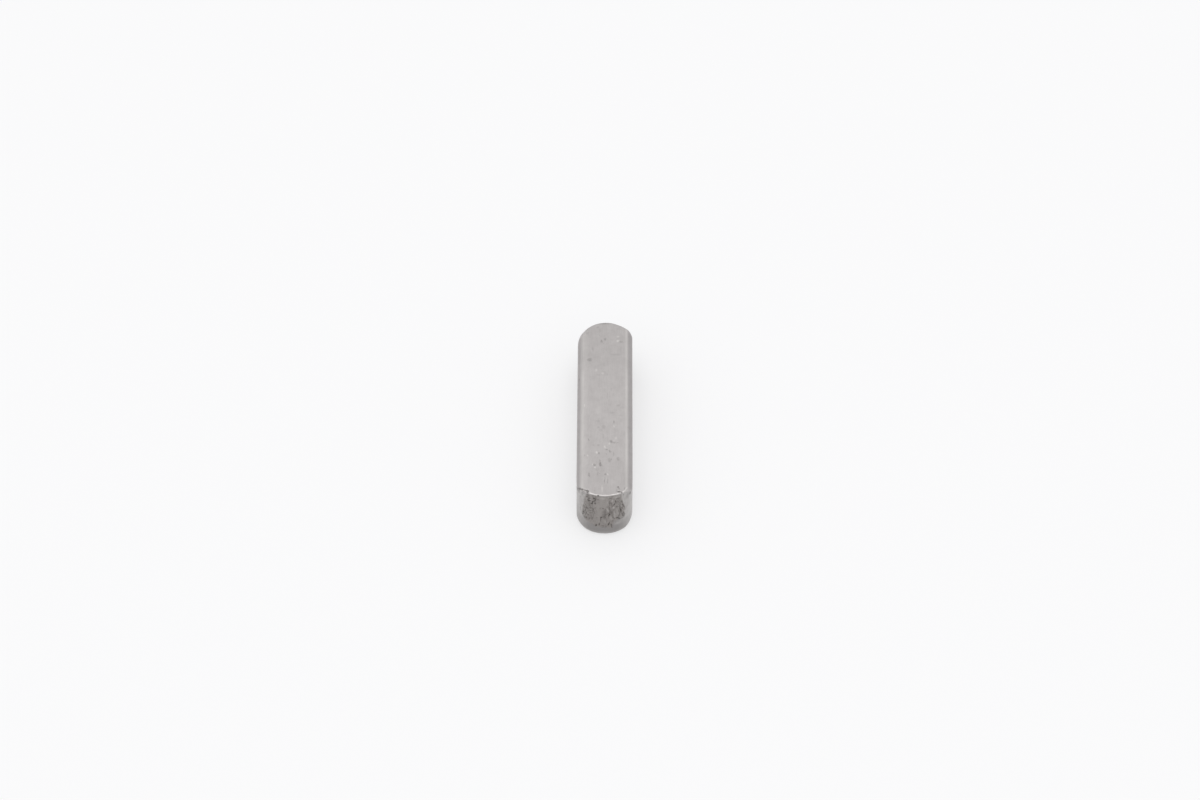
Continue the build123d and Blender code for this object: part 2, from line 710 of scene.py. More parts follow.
    def bare_grid(self) -> tuple[Array, Array, Array]:
        """Works out the skin before its roughness and its hollows.

        Returns:
            The places of the points, rows by stations by three, the depth of the tear, and which
            points stand on the wall.
        """
        s = self.sizes
        foot, across, along = self.stations()
        rows = self.profile_rows()
        end_share = eased_step(np.abs(along), *s.end_run)
        roll = s.side_edge_round + (s.end_edge_roll - s.side_edge_round) * end_share
        edge = s.side_edge_round + (s.end_edge_break - s.side_edge_round) * end_share
        low_reach, _ = self.wall_reach(across, along, roll)
        low_lift = self.flank_break(across * low_reach)
        brim_level = np.full_like(foot, s.height - s.brim_drop)
        high_reach, high_depth = self.wall_reach(across, along, brim_level)
        brim = high_reach - edge
        high_level = self.top_height(across * brim, foot + along * brim) - edge

        bottom_reach = rows["bottom"][:, None] * (low_reach - roll)
        bottom_level = self.flank_break(across * bottom_reach)
        turn = rows["turns"][:, None]
        roll_reach = low_reach - roll + roll * np.sin(turn)
        roll_level = low_lift + roll * (1.0 - np.cos(turn))
        share = rows["wall"][:, None]
        wall_level = (low_lift + roll) * (1.0 - share) + high_level * share
        wide = np.broadcast_to(across, wall_level.shape), np.broadcast_to(along, wall_level.shape)
        wall_reach, wall_depth = self.wall_reach(*wide, wall_level)
        edge_reach = brim + edge * np.cos(turn)
        edge_level = high_level + edge * np.sin(turn)
        top_reach = rows["top"][:, None] * brim
        top_level = self.top_height(across * top_reach, foot + along * top_reach)

        reach = np.concatenate([bottom_reach, roll_reach, wall_reach, edge_reach, top_reach])
        level = np.concatenate([bottom_level, roll_level, wall_level, edge_level, top_level])
        low_rows = np.full((len(bottom_reach) + len(roll_reach), len(foot)), -1.0)
        edge_depth = np.broadcast_to(high_depth, edge_reach.shape)
        depth = np.concatenate([low_rows, wall_depth, edge_depth, np.full_like(top_reach, -1.0)])
        wall = np.zeros(reach.shape, dtype=bool)
        wall[len(bottom_reach) : len(low_rows) + len(wall_reach)] = True
        return np.stack([across * reach, foot + along * reach, level], axis=-1), depth, wall


@dataclass
class WornSkin:
    """The skin of the key: its surface, with the torn grain and the hollows cut into it, and the
    marks of tearing, rubbing, dirt, painted highlights and painted shade that its materials read."""

    surface: KeySurface
    hollows: Sequence[Hollow] = ()
    wear: Wear = Wear()
    hollow_noises: tuple[Noise, ...] = (Noise(0.26, 2, 81), Noise(0.26, 2, 83), Noise(0.26, 2, 85))
    hollow_wander: float = 0.04

    @property
    def sizes(self) -> KeySizes:
        """The sizes of the key."""
        return self.surface.sizes

    @property
    def tear(self) -> Tear:
        """The details of its torn patch."""
        return self.surface.tear

    def torn_share(self, points: Array, depth: Array) -> Array:
        """How far each point belongs to the torn patch.

        The patch narrows upwards, stops short of the top edge, and its borders wander. The far
        wall has a faint one, where the crop broke off too.

        Args:
            points: Places of the points.
            depth: Depth of the tear at each.

        Returns:
            A share from 0 to 1 for each point.
        """
        s, tear = self.sizes, self.tear
        x, y, height = np.moveaxis(points, -1, 0)
        wander = tear.edge_noise.at(points)
        narrowing = tear.narrowing * np.maximum(height - tear.narrows_from, 0.0)
        half = s.tear_half_width - narrowing + tear.side_wander * wander
        sides = eased_step(half - np.abs(x - tear.middle), *tear.side_edge)
        border = self.surface.torn_border(x, tear.low_wander * wander)
        upper = 1.0 - eased_step(height - s.height, *tear.top_edge)
        near = sides * eased_step(height - border, *tear.low_edge) * upper
        near = near * eased_step(depth, *tear.depth_edge)
        far_border = tear.far_level + 0.05 * x**2 + tear.far_wander * wander
        far = eased_step(height - far_border, *tear.far_edge) * upper * sides * (y > s.far_centre)
        far = self.wear.far_end_share * far
        return np.where(y < 0.0, near, far * (height < s.height - s.end_edge_break))

    def torn_grain(self, points: Array) -> Array:
        """Depth of the torn grain in shares: lumps of steep-sided noise with creases between.

        Lumps are layered noise pushed through an S, which flattens their tops and floors.
        Creases are what is left of one when the size of another noise is taken from it, squared.
        Both are drawn out upwards, and fade in the smooth streak.

        Args:
            points: Places of the points.

        Returns:
            The depth at each, from 0 to about 1.15.
        """
        tear = self.tear
        drawn_up = points * tear.grain_stretch
        lumps = eased_step(tear.lump_noise.at(drawn_up), -0.5, 0.5)
        creases = 1.0 - tear.crease_steepness * np.abs(tear.crease_noise.at(drawn_up))
        creases = np.clip(creases, 0.0, 1.0) ** 2
        smoothed = 1.0 - tear.streak_smoothness * self.smooth_streak(points)
        return (tear.lump_share * lumps + tear.crease_share * creases) * smoothed

    def grid(self) -> SkinGrid:
        """Works out the finished skin: the bare grid, its torn grain, its hollows and its marks.

        The hollows are measured from places shifted by noise, which makes them uneven. A bright
        one clears the dirt and painted shade that earlier ones left.

        Returns:
            The grid.
        """
        s, wear = self.sizes, self.wear
        points, depth, wall = self.surface.bare_grid()
        torn = self.torn_share(points, depth)
        grain = self.torn_grain(points)
        outwards = (points - np.array([0.0, s.near_centre, 0.0])) * [1.0, 1.0, 0.0]
        outwards /= np.maximum(np.linalg.norm(outwards, axis=-1, keepdims=True), TINY)
        cut = np.where(points[..., 1] < 0.0, torn * grain * self.tear.grain_depth, 0.0)
        # The deeper torn grain is darkened: dirt and painted shade in its hollows.
        dirt_and_shade = wear.grain_dirt_and_shade * torn * eased_step(grain, *wear.grain_dirt_and_shade_run)
        moved = points - outwards * cut[..., None]
        shifts = [noise.at(points) for noise in self.hollow_noises]
        uneven = points + self.hollow_wander * np.stack(shifts, axis=-1)
        shine = np.zeros_like(dirt_and_shade)
        for hollow in self.hollows:
            share = hollow.share(uneven)
            moved += (share * hollow.depth)[..., None] * np.array(hollow.inwards)
            dirt_and_shade *= 1.0 - min(wear.shine_clears * hollow.shine, 1.0) * share
            dirt_and_shade = np.maximum(dirt_and_shade, hollow.dirt_and_shade * eased_step(share, 0.0, 0.7))
            shine = np.maximum(shine, hollow.shine * share)
        # The darker places and the painted shadow line at the knocked corner join the dirt and shade.
        dirt_and_shade += self.film_and_darkening(points) + self.painted_corner_shadow(points)
        marks = {
            Mark.RUBBED: np.clip(self.rubbed_and_highlight(points) + shine, 0.0, 1.0),
            Mark.DIRT: np.clip(dirt_and_shade, 0.0, 1.0),
            Mark.SHEARED: self.sheared(points),
            Mark.TORN: torn,
            Mark.DULL: self.dull_and_shade(points) * wall,
            Mark.PITTING: self.pitting(points),
        }
        return SkinGrid(moved, wall, marks)

    def rubbed_and_highlight(self, points: Array) -> Array:
        """How bright each point is made: a painted highlight, partly rubbed wear, along the inner side of
        the long edges; a painted highlight on the top edge of the near end; rubbed wear on the worn far
        shoulder and a little on the torn smooth streak.

        Args:
            points: Places of the points.

        Returns:
            A share from 0 to 1 for each point.
        """
        s, wear = self.sizes, self.wear
        x, y, height = np.moveaxis(points, -1, 0)
        uneven = wear.mean_strength + wear.strength_swing * wear.unevenness.at(points)
        on_top = eased_step(height - s.height, *wear.top_run)
        streaks = np.clip(ridges(x, wear.streaks), 0.0, 1.0) * wear.streak_strength
        shoulder = eased_step(self.surface.beyond_shoulder(x, y), *wear.shoulder_run)
        shoulder = shoulder * (x < 0.0) * on_top
        streaks = streaks * uneven * on_top * (1.0 - shoulder)
        smooth = self.smooth_streak(points) * eased_step(height, *wear.torn_streak_run)
        smooth = smooth * (height < s.height - wear.top_band)
        shine = wear.shoulder_strength * shoulder + wear.torn_streak_strength * smooth
        # The streaks and the brink are painted highlights, the streaks partly rubbed wear.
        return np.clip(streaks + self.brink(points) * uneven + shine, 0.0, 1.0)

    def brink(self, points: Array) -> Array:
        """The painted highlight along the top edge of the near end: a bright line between its knocked
        corners.

        It keeps to the last tenth of a millimetre inside the outline, whichever of the torn arc,
        the half circle and the knocks is innermost.

        Args:
            points: Places of the points.

        Returns:
            A share for each point.
        """
        s, wear = self.sizes, self.wear
        x, y, height = np.moveaxis(points, -1, 0)
        between = eased_step(x, *wear.brink_start) * (1.0 - eased_step(x, *wear.brink_end))
        level = ridge(height - s.height, *wear.brink_level) * (y < s.near_centre) * between
        outline = np.hypot(x, y - s.near_centre - s.tear_offset) - s.tear_radius
        outline = np.maximum(outline, np.hypot(x, y - s.near_centre) - s.half_width)
        outline = np.maximum(outline, self.surface.beyond_corner(x, y))
        strength = wear.brink_strength + ridges(x, [wear.brink_extra])
        return strength * level * eased_step(outline, *wear.brink_run)

    def smooth_streak(self, points: Array) -> Array:
        """The smoother, lighter streak of the torn patch: left of the middle, leaning with height.

        Args:
            points: Places of the points.

        Returns:
            A share from 0 to 1 for each point.
        """
        x, y, height = np.moveaxis(points, -1, 0)
        tear = self.tear
        leaning = x - tear.streak_middle - tear.streak_lean * (height - tear.streak_level)
        return ridge(leaning, 0.0, tear.streak_half_width) * (y < self.sizes.near_centre)

    def film_and_darkening(self, points: Array) -> Array:
        """A thin film of dirt on the top face towards its ends, and darker places at its far tip and in
        patches on the near wall.

        Args:
            points: Places of the points.

        Returns:
            A share for each point.
        """
        s, wear = self.sizes, self.wear
        x, y, height = np.moveaxis(points, -1, 0)
        on_top = height > s.height - wear.top_band
        ends = wear.far_film * eased_step(y, *wear.far_film_run)
        ends = ends + wear.near_film * eased_step(-y, *wear.near_film_run)
        walls = sum(patch.share(x, height) for patch in wear.wall_darkening)
        tip = ridges(x, [wear.far_tip_darkening]) * eased_step(y - s.length / 2, *wear.far_tip_run)
        tip = tip * (height > s.height - wear.tip_depth)
        return on_top * ends + (y < s.near_centre) * ~on_top * walls + tip

    def painted_corner_shadow(self, points: Array) -> Array:
        """A painted shadow line where the near left corner was knocked down, and along the brim there.

        Args:
            points: Places of the points.

        Returns:
            A share for each point.
        """
        s, wear = self.sizes, self.wear
        x, y, height = np.moveaxis(points, -1, 0)
        past = self.surface.beyond_corner(x, y) + wear.corner_wander * wear.corner_noise.at(points)
        corner = ridges(past, [wear.painted_corner_shadow]) * eased_step(-x, *wear.corner_run)
        brim = ridges(np.hypot(x, y - s.near_centre), [wear.painted_brim_shadow])
        brim = brim * eased_step(-x, *wear.brim_run) * eased_step(-y, *wear.brim_end)
        return (y < s.near_centre) * (corner + brim) * (height > s.height - wear.corner_depth)

    def sheared(self, points: Array) -> Array:
        """How far each point of the wall is smeared by the punch: none where the flanks meet the
        ends, all of it a little further round, with a wandering border.

        Args:
            points: Places of the points.

        Returns:
            A share from 0 to 1 for each point.
        """
        s, wear = self.sizes, self.wear
        y = points[..., 1] + wear.smear_wander * wear.smear_noise.at(points)
        past = np.maximum(s.near_centre - y, y - s.far_centre)
        return eased_step(past, *wear.smear_run)

    def dull_and_shade(self, points: Array) -> Array:
        """How grey each point of the end walls is painted, as painted shade and partly a greyer finish:
        most in the middle of the near end. It fades towards the flanks, sooner higher up, and at the foot.

        Args:
            points: Places of the points.

        Returns:
            A share from 0 to 1 for each point.
        """
        s, wear = self.sizes, self.wear
        x, y, height = np.moveaxis(points, -1, 0)
        side = np.abs(x - wear.dull_and_shade_middle)
        upwards = 0.75 + 0.25 * eased_step(height, *wear.dull_and_shade_rise)
        middle = 1.0 - eased_step(side, *wear.dull_and_shade_run) * upwards
        flank = wear.bright_flank * eased_step(side, *wear.bright_run)
        middle = middle * (1.0 - flank * eased_step(height, *wear.bright_rise))
        foot = (1.0 - wear.foot_dullness) * (1.0 - eased_step(height, *wear.foot_rise))
        middle = middle * (1.0 - foot)
        return middle * np.where(y < s.near_centre, 1.0, wear.far_end_share * (y > s.far_centre))

    def pitting(self, points: Array) -> Array:
        """How thickly each point is sown with small pits: most on the nearer part of the top.

        Args:
            points: Places of the points.

        Returns:
            A share from 0 to 1 for each point.
        """
        x, y, height = np.moveaxis(points, -1, 0)
        sown = sum(patch.share(x, y) for patch in self.wear.pit_patches)
        return np.clip(sown, 0.0, 1.0) * (height > self.sizes.height - self.wear.top_band)


def linear(hex_colour: str) -> tuple[float, float, float, float]:
    """Turns an sRGB hex colour into the linear colour that a shader takes.

    Args:
        hex_colour: A hash and six hex digits.

    Returns:
        Red, green, blue and one for opaque.
    """
    parts = [int(hex_colour[i : i + 2], 16) / 255.0 for i in (1, 3, 5)]
    lit = [p / 12.92 if p <= 0.04045 else ((p + 0.055) / 1.055) ** 2.4 for p in parts]
    return (*lit, 1.0)


def node(
    tree: bpy.types.NodeTree,
    kind: str,
    inputs: Mapping[str, object] | None = None,
    stops: Sequence[tuple[float, str]] = (),
    **settings: object,
) -> bpy.types.Node:
    """Adds one node with its settings and links.

    Args:
        tree: The node tree that gets it.
        kind: Blender's name for the kind of node.
        inputs: A value or another node's output for each named input.
        stops: Places and hex colours of a colour ramp.
        settings: Properties of the node.

    Returns:
        The new node.
    """
    made = tree.nodes.new(kind)
    for name, value in settings.items():
        setattr(made, name, value)
    for name, value in (inputs or {}).items():
        socket = next(s for s in made.inputs if name in (s.identifier, s.name) and s.enabled)
        if isinstance(value, Socket):
            tree.links.new(value, socket)
        else:
            socket.default_value = value
    if stops:
        points = made.color_ramp.elements
        while len(points) < len(stops):
            points.new(1.0)
        for point, (place, colour) in zip(points, stops):
            point.position = place
            point.color = linear(colour)
    return made


def emptied_tree(owner: bpy.types.Material | bpy.types.World) -> bpy.types.NodeTree:
    """The node tree of a material or a world, with nothing in it yet.

    Args:
        owner: The material or the world.

    Returns:
        Its tree.
    """
    owner.use_nodes = True
    owner.node_tree.nodes.clear()
    return owner.node_tree


def placed(name: str, data: bpy.types.ID) -> bpy.types.Object:
    """Makes an object of a mesh, a lamp or a camera and puts it in the scene.

    Args:
        name: Name of the object.
        data: What it shows.

    Returns:
        The object, at the origin.
    """
    piece = bpy.data.objects.new(name, data)
    bpy.context.scene.collection.objects.link(piece)
    return piece


@dataclass(frozen=True)
class Shade:
    """What a finish gives at each point: its colour, its roughness and its height in millimetres."""

    colour: Socket
    gloss: Socket
    height: Socket


@dataclass(frozen=True)
class SteelFinish:
    """How one making of bare steel looks: its tones, its gloss, its grain and its pits."""

    tone: str
    worn_tone: str
    # Tone of the painted shade on the end walls, partly a greyer finish.
    dull_and_shade_tone: str
    pit_tone: str
    roughness: float
    roughness_spread: float
    grain_mm: Triple
    grain_height_mm: float
    cloud_mm: float
    pit_mm: float
    pit_share: float
    pit_depth_mm: float
    grain_in_tone: float = 0.4
    tone_ends: Span = (0.36, 0.62)
    gloss_ends: Span = (0.3, 0.7)
    pit_edge: float = 0.07
    sown_pits: float = 0.07

    def shade(self, tree: bpy.types.NodeTree, place: Socket, dull_and_shade: Socket, pitting: Socket) -> Shade:
        """Makes the finish from noise on Object coordinates, which are in metres.

        Args:
            tree: The material's node tree.
            place: Object coordinates.
            dull_and_shade: Where the finish is greyest.
            pitting: Where it has more pits.

        Returns:
            The colour, roughness and height.
        """
        add = partial(node, tree)
        scale = tuple(1.0 / (size * MILLIMETRE) for size in self.grain_mm)
        drawn = add("ShaderNodeMapping", {"Vector": place, "Scale": scale}).outputs["Vector"]
        noises = (
            (drawn, 1.0, 4.0, 0.6),
            (place, 1.0 / (self.cloud_mm * MILLIMETRE), 6.0, 0.65),
            (place, 1.0 / (self.pit_mm * MILLIMETRE), 3.0, 0.7),
        )
        grain, cloud, spots = (
            add(
                "ShaderNodeTexNoise",
                {"Vector": at, "Scale": scale, "Detail": detail, "Roughness": roughness},
            ).outputs["Fac"]
            for at, scale, detail, roughness in noises
        )
        mottle = add(
            "ShaderNodeMix", {"Factor_Float": self.grain_in_tone, "A_Float": cloud, "B_Float": grain}
        ).outputs[0]
        stops = list(zip(self.tone_ends, (self.worn_tone, self.tone)))
        colour = add("ShaderNodeValToRGB", {"Fac": mottle}, stops).outputs["Color"]
        sown = add(
            "ShaderNodeMath",
            {"Value": pitting, "Value_001": self.sown_pits, "Value_002": spots},
            operation="MULTIPLY_ADD",
        ).outputs["Value"]
        pits_from = 1.0 - self.pit_share
        pitted = add(
            "ShaderNodeMapRange",
            {"Value": sown, "From Min": pits_from, "From Max": pits_from + self.pit_edge},
            interpolation_type="SMOOTHSTEP",
        ).outputs["Result"]
        # The first tone is painted shade on the end walls, partly a greyer finish; the second is the pits.
        for share, tone in ((dull_and_shade, self.dull_and_shade_tone), (pitted, self.pit_tone)):
            mixed = {"Factor_Float": share, "A_Color": colour, "B_Color": linear(tone)}
            colour = add("ShaderNodeMix", mixed, data_type="RGBA").outputs[2]
        gloss = add(
            "ShaderNodeMapRange",
            {
                "Value": mottle,
                "From Min": self.gloss_ends[0],
                "From Max": self.gloss_ends[1],
                "To Min": self.roughness + self.roughness_spread,
                "To Max": self.roughness - self.roughness_spread,
            },
        ).outputs["Result"]
        sunk = {"Value": pitted, "Value_001": -self.pit_depth_mm}
        sunk = add("ShaderNodeMath", sunk, operation="MULTIPLY").outputs["Value"]
        raised = {"Value": grain, "Value_001": self.grain_height_mm, "Value_002": sunk}
        height = add("ShaderNodeMath", raised, operation="MULTIPLY_ADD").outputs["Value"]
        return Shade(colour, gloss, height)


@dataclass(frozen=True)
class SteelMaterial:
    """A material of one finish, with others laid over it where their marks say, then the
    rubbed-bright places and painted highlights, then the dirt and painted shade."""

    name: str
    base: SteelFinish
    layers: tuple[tuple[Mark, SteelFinish], ...] = ()
    # Tone of the rubbed wear and of the painted highlights.
    rubbed_and_highlight_tone: str = "#E2DFDC"
    rubbed_roughness: float = 0.28
    # Tone of the dirt and of the painted shade.
    dirt_and_shade_tone: str = "#4B4744"
    dirt_and_shade_grain_mm: float = 0.12

    def mark(self, tree: bpy.types.NodeTree, mark: Mark) -> Socket:
        """Reads one mark from the skin."""
        return node(tree, "ShaderNodeAttribute", attribute_name=mark.value).outputs["Fac"]

    def blended(self, tree: bpy.types.NodeTree, first: Shade, second: Shade, share: Socket) -> Shade:
        """Mixes two shades.

        Args:
            tree: The material's node tree.
            first: The shade where the share is zero.
            second: The shade where it is one.
            share: The share.

        Returns:
            The mixed shade.
        """
        add = partial(node, tree, "ShaderNodeMix")
        colours = {"Factor_Float": share, "A_Color": first.colour, "B_Color": second.colour}
        colour = add(colours, data_type="RGBA").outputs[2]
        gloss, height = (
            add({"Factor_Float": share, "A_Float": a, "B_Float": b}).outputs[0]
            for a, b in ((first.gloss, second.gloss), (first.height, second.height))
        )
        return Shade(colour, gloss, height)

    def build(self) -> bpy.types.Material:
        """Makes the material: its finishes, then rubbed wear and painted highlights, then dirt and painted
        shade.

        Returns:
            The material.
        """
        made = bpy.data.materials.new(self.name)
        tree = emptied_tree(made)
        add = partial(node, tree)
        place = add("ShaderNodeTexCoord").outputs["Object"]
        dull_and_shade, pitting = self.mark(tree, Mark.DULL), self.mark(tree, Mark.PITTING)
        shade = self.base.shade(tree, place, dull_and_shade, pitting)
        for mark, finish in self.layers:
            laid = finish.shade(tree, place, dull_and_shade, pitting)
            shade = self.blended(tree, shade, laid, self.mark(tree, mark))
        rubbed_and_highlight = self.mark(tree, Mark.RUBBED)
        polished = {"Factor_Float": rubbed_and_highlight, "A_Float": shade.gloss, "B_Float": self.rubbed_roughness}
        gloss = add("ShaderNodeMix", polished).outputs[0]
        speck = 1.0 / (self.dirt_and_shade_grain_mm * MILLIMETRE)
        speckled = {"Vector": place, "Scale": speck, "Detail": 3.0, "Roughness": 0.6}
        specks = add("ShaderNodeTexNoise", speckled).outputs["Fac"]
        patchy = add(
            "ShaderNodeMapRange",
            {"Value": specks, "From Min": 0.25, "From Max": 0.6, "To Min": 0.35, "To Max": 1.0},
        ).outputs["Result"]
        soiled_and_shaded = {"Value": self.mark(tree, Mark.DIRT), "Value_001": patchy}
        soiled_and_shaded = add("ShaderNodeMath", soiled_and_shaded, operation="MULTIPLY").outputs["Value"]
        colour = shade.colour
        # The first tone lays rubbed wear and painted highlights, the second dirt and painted shade.
        for share, tone in ((rubbed_and_highlight, self.rubbed_and_highlight_tone), (soiled_and_shaded, self.dirt_and_shade_tone)):
            mixed = {"Factor_Float": share, "A_Color": colour, "B_Color": linear(tone)}
            colour = add("ShaderNodeMix", mixed, data_type="RGBA").outputs[2]
        uneven = {"Height": shade.height, "Distance": MILLIMETRE, "Strength": 1.0}
        bump = add("ShaderNodeBump", uneven).outputs["Normal"]
        steel = add(
            "ShaderNodeBsdfPrincipled",
            {"Base Color": colour, "Metallic": 1.0, "Roughness": gloss, "Normal": bump},
        )
        add("ShaderNodeOutputMaterial", {"Surface": steel.outputs["BSDF"]})
        return made


# Cold-drawn key steel, rumbled after cropping: satin, nearly even, with faint lines along the
# length from the die and small dark pits where scale was pressed in. Die lines are finer than
# this, and are drawn 0.1 mm wide so that they show.
DRAWN = SteelFinish(
    tone="#C3BFBE",
    worn_tone="#B8B4B3",
    dull_and_shade_tone="#ADA9A7",
    pit_tone="#7A7673",
    roughness=0.36,
    roughness_spread=0.05,
    grain_mm=(0.10, 1.3, 0.10),
    grain_height_mm=0.004,
    cloud_mm=0.9,
    pit_mm=0.30,
    pit_share=0.30,
    pit_depth_mm=0.006,
)

# The wall that the cropping punch slid along: smeared smooth and streaked upwards. It is bright at
# the flanks and grey in the middle of the end, which is painted shade and partly a greyer finish.
SHEARED = SteelFinish(
    tone="#BAB7B5",
    worn_tone="#A6A3A1",
    dull_and_shade_tone="#918E8D",
    pit_tone="#6E6B69",
    roughness=0.34,
    roughness_spread=0.05,
    grain_mm=(0.09, 0.09, 1.1),
    grain_height_mm=0.006,
    cloud_mm=0.8,
    pit_mm=0.25,
    pit_share=0.28,
    pit_depth_mm=0.01,
)

# The part of the end that broke off: coarse grey grain that scatters light, with dirt and painted shade.
TORN = SteelFinish(
    tone="#BFBBB8",
    worn_tone="#837E7B",
    dull_and_shade_tone="#9D9895",
    pit_tone="#5F5A57",
    roughness=0.52,
    roughness_spread=0.1,
    grain_mm=(0.15, 0.15, 0.30),
    grain_height_mm=0.05,
    cloud_mm=0.7,
    pit_mm=0.30,
    pit_share=0.34,
    pit_depth_mm=0.02,
)

MATERIALS = {
    Finish.DRAWN: SteelMaterial("cold_drawn_rumbled_steel", DRAWN),
    Finish.CROPPED: SteelMaterial(
        "cropped_end_steel", DRAWN, ((Mark.SHEARED, SHEARED), (Mark.TORN, TORN))
    ),
}


@dataclass
class ParallelKey:
    """The key itself: its skin as one mesh, in its finishes. The walls are merged into larger
    faces where they are flat to within an angle in degrees, between two levels in millimetres."""

    skin: WornSkin
    materials: Mapping[Finish, SteelMaterial]
    name: str = "key_skin"
    flat_angle: float = 0.4
    flat_from: float = 0.5
    flat_below_top: float = 0.6

    def mesh(self) -> bpy.types.Mesh:
        """Makes the mesh in metres, with its seams welded and each face given its finish.

        Returns:
            The mesh.
        """
        grid = self.skin.grid()
        faces = grid.closed_faces()
        made = bpy.data.meshes.new(self.name)
        made.from_pydata((grid.points.reshape(-1, 3) * MILLIMETRE).tolist(), [], faces.tolist())
        made.polygons.foreach_set("material_index", self.face_finish(grid, faces))
        made.polygons.foreach_set("use_smooth", np.ones(len(faces), dtype=bool))
        for mark, values in grid.marks.items():
            layer = made.attributes.new(mark.value, "FLOAT", "POINT")
            layer.data.foreach_set("value", values.reshape(-1).astype(np.float32))
        self.weld(made)
        return made

    def face_finish(self, grid: SkinGrid, faces: Array) -> Array:
        """The finish of each face: cropped on the end walls, drawn elsewhere.

        Args:
            grid: The worked-out skin.
            faces: The numbers of each face's four points.

        Returns:
            The number of each face's material slot.
        """
        s = self.skin.sizes
        along = grid.points.reshape(-1, 3)[faces, 1].mean(axis=1)
        on_wall = grid.wall.reshape(-1)[faces].all(axis=1)
        cropped = on_wall & ((along < s.near_centre) | (along > s.far_centre))
        return np.where(cropped, Finish.CROPPED.value, Finish.DRAWN.value).astype(np.int32)

    def weld(self, made: bpy.types.Mesh) -> None:
        """Joins the points that meet on the middle lines, so that the skin is closed.

        Args:
            made: The mesh, in metres.
        """
        work = bmesh.new()
        work.from_mesh(made)
        bmesh.ops.remove_doubles(work, verts=work.verts, dist=1e-7)
        bmesh.ops.dissolve_degenerate(work, edges=work.edges, dist=1e-8)
        self.merge_level_parts(work)
        work.to_mesh(made)
        work.free()

    def merge_level_parts(self, work: bmesh.types.BMesh) -> None:
        """Merges the faces of the walls that lie in one plane, away from the near end.

        Args:
            work: The mesh being worked on.
        """
        s = self.skin.sizes
        lowest, highest = self.flat_from * MILLIMETRE, (s.height - self.flat_below_top) * MILLIMETRE
        plain_end = s.near_centre * MILLIMETRE
        plain = [v for v in work.verts if v.co.y > plain_end and lowest < v.co.z < highest]
        chosen = set(plain)
        edges = [edge for edge in work.edges if chosen.issuperset(edge.verts)]
        bmesh.ops.dissolve_limit(
            work,
            angle_limit=math.radians(self.flat_angle),
            verts=plain,
            edges=edges,
            delimit={"MATERIAL"},
        )

    def build(self) -> bpy.types.Object:
        """Makes the object, dresses it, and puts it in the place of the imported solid.

        Returns:
            The finished piece.
        """
        made = self.mesh()
        for finish in Finish:
            made.materials.append(self.materials[finish].build())
        piece = placed(self.name, made)
        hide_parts(KEY_NODE)
        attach(piece, "root")
        corners = sum(len(face.vertices) - 2 for face in made.polygons)
        log.info("%s: %d faces, %d triangles", piece.name, len(made.polygons), corners)
        return piece


